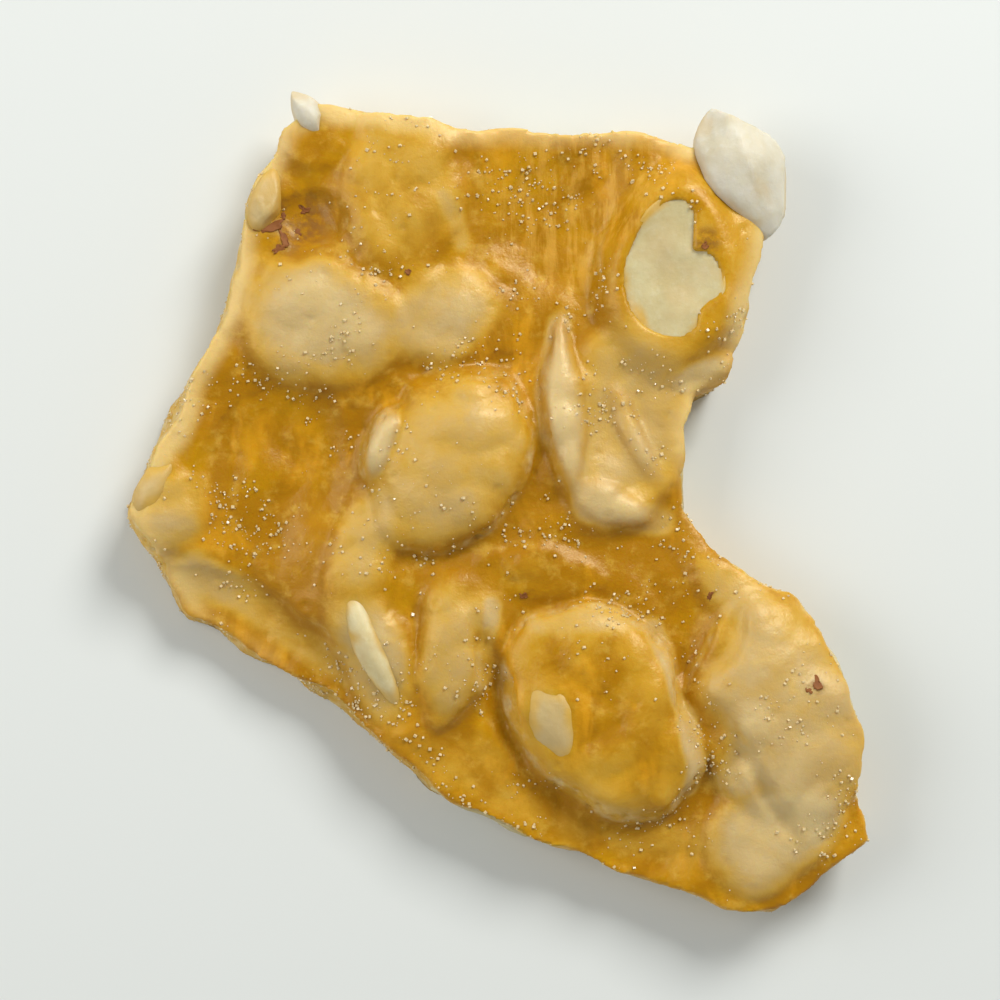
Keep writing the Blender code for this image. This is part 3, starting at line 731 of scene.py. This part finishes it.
def make_kernel(name, kernel, kernel_break):
    """A kernel with shallow wrinkles that run along it, and a film of toffee where it sinks in."""
    piece = new_object(name + "_kernel", kernel_mesh(name, kernel))
    if kernel.torn:
        combine(piece, kernel_break, "INTERSECT")
    mesh = piece.data
    co = coordinates(mesh)
    no = normals(mesh)
    place = kernel_place(kernel)
    middle = np.array(place.translation)
    seed = kernel.x + kernel.y
    if name in CHIPPED:
        chip(co, middle, seed)
    local = (co - middle) @ np.array(place.to_3x3())
    wrinkles = noise_at(local * (0.3, 1, 1), 0.75 * MM, seed)
    swell = noise_at(co, 2.4 * MM, seed)
    bulge = 0.3 if kernel.split else 0.1
    push = bulge * swell + 0.08 * wrinkles + 0.03 * noise_at(co, 0.5 * MM, seed + 3)
    co += no * (push * MM)[:, None]
    face = top_height(co[:, 0], co[:, 1])
    shore = (co[:, 2] - face) / MM + 0.35 * noise_at(co, 1.1 * MM, seed + 5)
    depth = 0.3 if name in PROUD_CHIPS else 0.9
    film = np.zeros(len(co))
    if not kernel.torn and kernel_middle(kernel) > 2:
        film = 1 - smooth(shore, -0.05, depth)
    if kernel.split:
        radius = kernel_radius(kernel, co[:, 0] / MM, co[:, 1] / MM)
        film = smooth(radius + 0.3 * noise_at(co, 1.5 * MM, seed + 5), 0.84, 1.02)
    if KERNEL_KINDS.get(name) == "blanched_kernel":
        film = 0.3 * film
    store(mesh, "film", film)
    # Painted shade: the middle of the split kernel's dished face is darkened
    core = np.hypot(local[:, 0] / MM - SPLIT_SHADE_MIDDLE[0], 1.6 * (local[:, 1] / MM - SPLIT_SHADE_MIDDLE[1]))
    store(mesh, "core", smooth(-core, -2.6, -0.4) if kernel.split else np.zeros(len(co)))
    co[:, 2] = np.maximum(co[:, 2], KERNEL_LOWEST)
    set_coordinates(mesh, co)
    mesh.shade_smooth()
    return piece


def make_flakes(name, skin):
    """Thin curled scraps of peanut skin that lie on the toffee."""
    tree = bvhtree.BVHTree.FromPolygons(coordinates(skin.data), [p.vertices for p in skin.data.polygons])
    bm = bmesh.new()
    for x, y, length, width, turn in FLAKES:
        hit, normal, _, _ = tree.ray_cast(Vector((x * MM, y * MM, 20 * MM)), Vector((0, 0, -1)))
        lay = normal.to_track_quat("Z", "Y").to_matrix().to_4x4()
        lay = lay @ Matrix.Rotation(math.radians(turn), 4, "Z")
        grid = bmesh.ops.create_grid(bm, x_segments=FLAKE_COLUMNS, y_segments=FLAKE_ROWS, size=1.0)
        for vert in grid["verts"]:
            u, v = vert.co.xy
            ragged = 1 + 0.9 * noise.noise(Vector((1.3 * u + x, 1.3 * v + y, turn)))
            curl = 0.28 * (u * u + 0.6 * v * v) * noise.noise(Vector((0.8 * u, 0.8 * v, x + y))) + 0.05
            round_off = math.sqrt(max(0.2, 1 - 0.5 * v * v))
            spot = Vector((0.5 * length * u * ragged * round_off, 0.5 * width * v * ragged, 0.5 * curl))
            vert.co = hit + lay @ (spot * MM)
    flakes = new_object(name, mesh_from(bm, name))
    solidify = flakes.modifiers.new("Thickness", "SOLIDIFY")
    solidify.thickness = FLAKE_THICKNESS
    apply_modifiers(flakes)
    flakes.data.shade_smooth()
    return flakes


def make_grains(name, skin):
    """Sugar crystals: little cubes, each part sunk in the toffee, in drifts and in the dips."""
    rng = np.random.default_rng(GRAIN_SEED)
    mesh = skin.data
    mesh.calc_loop_triangles()
    tris = np.empty(3 * len(mesh.loop_triangles), np.int32)
    mesh.loop_triangles.foreach_get("vertices", tris)
    tris = tris.reshape(-1, 3)
    co = coordinates(mesh)
    a, b, c = co[tris[:, 0]], co[tris[:, 1]], co[tris[:, 2]]
    cross = np.cross(b - a, c - a)
    area = np.linalg.norm(cross, axis=1)
    normal = cross / np.maximum(area, 1e-12)[:, None]
    chosen = rng.choice(len(tris), 12 * GRAIN_COUNT, p=area / area.sum())
    drift = noise_at(a[chosen], 4.5 * MM, 31.0) + 0.6 * noise_at(a[chosen], 1.6 * MM, 37.0)
    settle = smooth(blurred_drop(a[chosen, 0], a[chosen, 1]), -0.6 * MM, 0.3 * MM)
    keep = rng.random(len(chosen)) < np.clip(0.05 + 1.9 * drift, 0.02, 1) * (0.25 + 0.75 * settle)
    keep &= (normal[chosen, 2] > -0.5) | (rng.random(len(chosen)) < GRAINS_UNDER)
    smallest, largest = GRAIN_SIZES
    bm = bmesh.new()
    for tri in chosen[keep][:GRAIN_COUNT]:
        u, v = sorted(rng.random(2))
        spot = a[tri] * u + b[tri] * (v - u) + c[tri] * (1 - v)
        size = smallest + (largest - smallest) * rng.random() ** 2
        turn = Matrix.Rotation(rng.uniform(0, 6.28), 4, Vector(rng.normal(size=3)).normalized())
        sink = 0.15 * size if normal[tri, 2] > -0.5 else 0.4 * size
        place = Matrix.Translation(Vector(spot) + Vector(normal[tri]) * (0.5 * size - sink) * 0.6)
        squeeze = Matrix.Diagonal((1, rng.uniform(0.6, 1), 0.8, 1))
        bmesh.ops.create_cube(bm, size=size, matrix=place @ turn @ squeeze)
    for vert in bm.verts:
        vert.co.z = max(vert.co.z, 0.0)
    return new_object(name, mesh_from(bm, name))


# Materials


class Nodes:
    """A short way to write a node tree."""

    def __init__(self, name):
        self.material = bpy.data.materials.new(name)
        self.material.use_nodes = True
        self.tree = self.material.node_tree
        self.shader = self.tree.nodes["Principled BSDF"]

    def node(self, kind, inputs=None, **settings):
        made = self.tree.nodes.new(kind)
        for key, value in settings.items():
            setattr(made, key, value)
        for key, value in (inputs or {}).items():
            self.set(made.inputs[key], value)
        return made

    def set(self, socket, value):
        if isinstance(value, bpy.types.NodeSocket):
            self.tree.links.new(value, socket)
        else:
            socket.default_value = value

    def attribute(self, name):
        return self.node("ShaderNodeAttribute", attribute_name=name).outputs["Fac"]

    def noise(self, size, detail=4.0, roughness=0.55, distortion=0.0, stretch=(1, 1, 1)):
        """Smooth noise from 0 to 1 with features of this size, longer where stretch is below 1."""
        where = self.node("ShaderNodeTexCoord").outputs["Object"]
        place = self.node("ShaderNodeMapping", {"Vector": where, "Scale": stretch}).outputs[0]
        inputs = {"Scale": 1 / size, "Detail": detail, "Roughness": roughness, "Distortion": distortion}
        return self.node("ShaderNodeTexNoise", {"Vector": place, **inputs}).outputs["Fac"]

    def steps(self, value, low, high):
        """0 below low and 1 above high, with a smooth way between."""
        inputs = {"Value": value, "From Min": low, "From Max": high}
        return self.node("ShaderNodeMapRange", inputs, interpolation_type="SMOOTHSTEP").outputs["Result"]

    def mix(self, share, first, second):
        made = self.node("ShaderNodeMix", data_type="RGBA")
        self.set(made.inputs[0], share)
        self.set(made.inputs[6], first)
        self.set(made.inputs[7], second)
        return made.outputs[2]

    def coat(self, base, share, most, colour):
        """Lays a colour over the base, by share and at most this much."""
        return self.mix(self.math("MULTIPLY", share, most), base, colour)

    def math(self, operation, first, second):
        made = self.node("ShaderNodeMath", operation=operation)
        self.set(made.inputs[0], first)
        self.set(made.inputs[1], second)
        return made.outputs[0]

    def bump(self, height, strength, distance, normal=None):
        inputs = {"Height": height, "Strength": strength, "Distance": distance}
        if normal:
            inputs["Normal"] = normal
        return self.node("ShaderNodeBump", inputs).outputs["Normal"]


# Colours of the toffee on the poured face, on the walls and on the underside
# Deep amber where the toffee pools thick, also the colour of painted shade in the dips and creases
DEEP_AMBER_AND_SHADE = (0.39, 0.17, 0.0, 1)
AMBER = (0.52, 0.255, 0.0, 1)
HONEY = (0.59, 0.345, 0.04, 1)
TAN = (0.53, 0.36, 0.135, 1)
CREAM = (0.66, 0.51, 0.245, 1)
ORANGE = (0.70, 0.335, 0.01, 1)
CUSTARD = (0.63, 0.385, 0.07, 1)
# Colour of the painted highlight along the torn edge
EDGE_HIGHLIGHT = (0.72, 0.52, 0.19, 1)
BURNT = (0.20, 0.075, 0.012, 1)
STRING = (0.66, 0.36, 0.05, 1)
SLAB_AMBER = (0.47, 0.275, 0.035, 1)
SLAB_TAN = (0.48, 0.32, 0.09, 1)
SLAB_DUST = (0.56, 0.42, 0.17, 1)

# Colours of the stain on a kernel, also used for painted shade in the split kernel's dish, of peanut skin,
# of sugar, and of the studio
STAIN_AND_SHADE = (0.56, 0.41, 0.19, 1)
SKIN_DARK, SKIN_LIGHT = (0.15, 0.04, 0.010, 1), (0.33, 0.13, 0.03, 1)
GRAIN_DARK, GRAIN_LIGHT = (0.60, 0.42, 0.16, 1), (0.75, 0.62, 0.38, 1)
FLOOR = (0.695, 0.715, 0.68, 1)
SKY = (0.97, 0.99, 1.0, 1)


def clear_toffee(n, clouds, mottle, sunk):
    """Colour of clear toffee: deep amber where it pools, partly painted shade in the dips, honey or orange
    where it is thin.
    """
    # The dips darken towards deep amber, partly as painted shade
    pooled_and_shaded = n.math("MULTIPLY", sunk, 0.45)
    amber = n.mix(n.steps(n.math("SUBTRACT", clouds, pooled_and_shaded), 0.35, 0.68), DEEP_AMBER_AND_SHADE, AMBER)
    amber = n.coat(amber, n.steps(mottle, 0.5, 0.72), 0.7, HONEY)
    embers = n.steps(n.noise(3.2 * MM, 4.0, 0.6, 0.4, (1, 0.45, 1)), 0.52, 0.68)
    return n.coat(amber, embers, 0.6, ORANGE)


def slab_toffee(n, clouds, mottle):
    """Colour of the underside: matt, smeared and dusted with sugar from the slab."""
    slab = n.mix(n.steps(clouds, 0.4, 0.62), SLAB_AMBER, SLAB_TAN)
    smears = n.noise(5.0 * MM, 6.0, 0.65, 1.2, (0.5, 1, 1))
    slab = n.coat(slab, n.steps(smears, 0.52, 0.66), 0.7, SLAB_DUST)
    return n.coat(slab, n.steps(mottle, 0.56, 0.7), 0.6, SLAB_DUST)


def toffee_material():
    n = Nodes("toffee_sugar_glass")
    wall, under = n.attribute("wall"), n.attribute("under")
    # How far a point dips below its surroundings: darkened partly as painted shade, and on crests lightened
    # as painted light
    sunk = n.math("SUBTRACT", n.attribute("pool"), 0.5)
    clouds = n.noise(4.0 * MM, 5.0, 0.6, 0.5)
    mottle = n.noise(1.1 * MM, 6.0, 0.62)
    grit = n.noise(0.35 * MM, 4.0, 0.6)

    # Over a peanut the toffee is thin, and goes from honey to tan to cream; crests are also painted paler
    # and dips darker, as painted light and shade
    uneven = n.math("MULTIPLY", n.math("SUBTRACT", clouds, 0.5), 0.9)
    thin = n.math("ADD", n.attribute("pale"), uneven)
    thin = n.math("SUBTRACT", thin, n.math("MULTIPLY", sunk, 0.9))
    colour = n.mix(n.steps(thin, 0.05, 0.65), clear_toffee(n, clouds, mottle, sunk), HONEY)
    custard = n.mix(n.steps(n.noise(2.4 * MM, 5.0, 0.62, 0.6), 0.4, 0.85), TAN, CUSTARD)
    colour = n.mix(n.steps(thin, 0.35, 0.95), colour, custard)
    colour = n.coat(colour, n.steps(thin, 0.75, 1.3), 0.8, CREAM)

    # Strings, the painted highlight along the torn edge, the crushed walls, the painted shade in the creases
    # and the underside lie over that
    strings = n.steps(n.noise(0.5 * MM, 4.0, 0.6, 0.0, (1, 0.12, 1)), 0.45, 0.65)
    colour = n.coat(colour, n.math("MULTIPLY", strings, n.attribute("streaks")), 0.6, STRING)
    # Painted highlight along the torn edge
    colour = n.coat(colour, n.steps(n.attribute("rim"), 0.2, 0.9), 0.85, EDGE_HIGHLIGHT)
    crushed = n.mix(n.steps(mottle, 0.4, 0.7), HONEY, CREAM)
    colour = n.coat(colour, wall, 0.75, crushed)
    # Painted shade: deep amber laid along the creases round the crisp lumps
    colour = n.coat(colour, n.attribute("crease"), 0.55, DEEP_AMBER_AND_SHADE)
    colour = n.mix(under, colour, slab_toffee(n, clouds, mottle))
    scorched = n.math("MULTIPLY", n.attribute("burnt"), n.steps(mottle, 0.38, 0.6))
    colour = n.coat(colour, scorched, 0.8, BURNT)
    n.set(n.shader.inputs["Base Color"], colour)

    dull = n.math("MAXIMUM", n.math("MULTIPLY", wall, 0.6), n.math("MULTIPLY", under, 0.8))
    gloss = n.math("ADD", n.math("MULTIPLY", grit, 0.3), 0.2)
    n.set(n.shader.inputs["Roughness"], n.math("ADD", gloss, n.math("MULTIPLY", dull, 0.35)))
    n.shader.inputs["Subsurface Weight"].default_value = 0.3
    n.shader.inputs["Subsurface Radius"].default_value = (1.0, 0.5, 0.12)
    n.shader.inputs["Subsurface Scale"].default_value = 1.2 * MM
    n.shader.inputs["IOR"].default_value = 1.5
    n.shader.inputs["Specular IOR Level"].default_value = 0.4
    n.shader.inputs["Specular Tint"].default_value = (1.0, 0.88, 0.62, 1)
    normal = n.bump(mottle, 0.35, 0.2 * MM)
    normal = n.bump(grit, 0.35, 0.08 * MM, normal)
    n.set(n.shader.inputs["Normal"], normal)
    return n.material


def kernel_material(name, dark, light, highlight):
    n = Nodes(name)
    clouds = n.noise(2.2 * MM, 5.0, 0.6)
    fine = n.noise(0.5 * MM, 5.0, 0.6)
    colour = n.mix(n.steps(clouds, 0.35, 0.7), light, dark)
    colour = n.coat(colour, n.steps(fine, 0.5, 0.75), 0.4, highlight)
    colour = n.coat(colour, n.attribute("film"), 0.9, HONEY)
    # Random stain patches, and painted shade in the middle of the split kernel's dish
    stain_and_shade = n.math("ADD", n.steps(n.noise(2.6 * MM, 3.0, 0.5), 0.5, 0.68), n.attribute("core"))
    colour = n.coat(colour, stain_and_shade, 0.42, STAIN_AND_SHADE)
    n.set(n.shader.inputs["Base Color"], colour)
    n.shader.inputs["Roughness"].default_value = 0.5
    n.shader.inputs["Subsurface Weight"].default_value = 0.2
    n.shader.inputs["Subsurface Radius"].default_value = (1.0, 0.7, 0.35)
    n.shader.inputs["Subsurface Scale"].default_value = 0.8 * MM
    n.set(n.shader.inputs["Normal"], n.bump(fine, 0.35, 0.12 * MM))
    return n.material


def flake_material():
    n = Nodes("peanut_skin")
    veins = n.noise(0.4 * MM, 5.0, 0.6, 0.0, (0.4, 1, 1))
    n.set(n.shader.inputs["Base Color"], n.mix(veins, SKIN_DARK, SKIN_LIGHT))
    n.shader.inputs["Roughness"].default_value = 0.6
    n.shader.inputs["Specular IOR Level"].default_value = 0.2
    n.set(n.shader.inputs["Normal"], n.bump(veins, 0.4, 0.06 * MM))
    return n.material


def grain_material():
    n = Nodes("sugar_grain")
    n.set(n.shader.inputs["Base Color"], n.mix(n.noise(1.0 * MM), GRAIN_DARK, GRAIN_LIGHT))
    n.shader.inputs["Roughness"].default_value = 0.25
    n.shader.inputs["Subsurface Weight"].default_value = 0.3
    n.shader.inputs["Subsurface Radius"].default_value = (1.0, 0.9, 0.7)
    n.shader.inputs["Subsurface Scale"].default_value = 0.3 * MM
    return n.material


# Stage

# Lights: name, place in metres, side in metres, power in watts
LIGHTS = (("key", (0.16, 0.24, 0.22), 0.14, 1.22), ("fill", (-0.26, 0.06, 0.22), 0.22, 0.55))
SKY_BELOW, SKY_ABOVE = 0.75, 0.16
FLOOR_SIZE = 4.0
CAMERA_HEIGHT = 0.150
CAMERA_LENS = 85.0


def make_stage():
    """A pale floor, a soft studio, and a camera that looks straight down as the photo does."""
    bpy.ops.mesh.primitive_plane_add(size=FLOOR_SIZE)
    floor = bpy.context.object
    floor.name = "floor"
    n = Nodes("pale_floor")
    n.shader.inputs["Base Color"].default_value = FLOOR
    n.shader.inputs["Roughness"].default_value = 0.9
    n.shader.inputs["Specular IOR Level"].default_value = 0.1
    floor.data.materials.append(n.material)

    world = bpy.data.worlds.new("studio")
    world.use_nodes = True
    tree = world.node_tree
    direction = tree.nodes.new("ShaderNodeTexCoord")
    split = tree.nodes.new("ShaderNodeSeparateXYZ")
    ramp = tree.nodes.new("ShaderNodeMapRange")
    tree.links.new(direction.outputs["Generated"], split.inputs[0])
    tree.links.new(split.outputs["Z"], ramp.inputs["Value"])
    ramp.inputs["To Min"].default_value = SKY_BELOW
    ramp.inputs["To Max"].default_value = SKY_ABOVE
    tree.links.new(ramp.outputs["Result"], tree.nodes["Background"].inputs["Strength"])
    tree.nodes["Background"].inputs["Color"].default_value = SKY
    bpy.context.scene.world = world

    for name, place, size, power in LIGHTS:
        data = bpy.data.lights.new(name, "AREA")
        data.size = size
        data.energy = power
        light = bpy.data.objects.new(name, data)
        light.location = place
        light.rotation_euler = (-Vector(place)).to_track_quat("-Z", "Y").to_euler()
        bpy.context.scene.collection.objects.link(light)

    camera_data = bpy.data.cameras.new("camera")
    camera_data.lens = CAMERA_LENS
    camera_data.clip_start = 0.01
    camera = bpy.data.objects.new("camera", camera_data)
    camera.location = (FOOTPRINT_SHIFT.x, FOOTPRINT_SHIFT.y, CAMERA_HEIGHT)
    bpy.context.scene.collection.objects.link(camera)
    bpy.context.scene.camera = camera
    bpy.context.scene.view_settings.view_transform = "Standard"


def finish_piece(obj, node, material):
    """Moves a finished piece to the footprint's middle and gives it its node, slot and material."""
    obj.data.transform(Matrix.Translation(FOOTPRINT_SHIFT))
    obj.data.materials.clear()
    obj.data.materials.append(material)
    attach(obj, "root")
    if node:
        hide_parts(node)


noise.seed_set(NOISE_SEED)
make_stage()
skin = make_toffee()
grains = make_grains("sugar_grains", skin)
flakes = make_flakes("peanut_skin_flakes", skin)
finish_piece(flakes, None, flake_material())
finish_piece(skin, "toffee", toffee_material())
finish_piece(grains, None, grain_material())
flesh = {kind: kernel_material(kind, *colours) for kind, colours in KERNEL_COLOURS.items()}
kernel_break = break_cutter("kernel_break", grow=KERNEL_PROUD)
for name, kernel in KERNELS.items():
    kind = KERNEL_KINDS.get(name, "roasted_kernel")
    finish_piece(make_kernel(name, kernel, kernel_break), name, flesh[kind])
bpy.data.objects.remove(kernel_break)
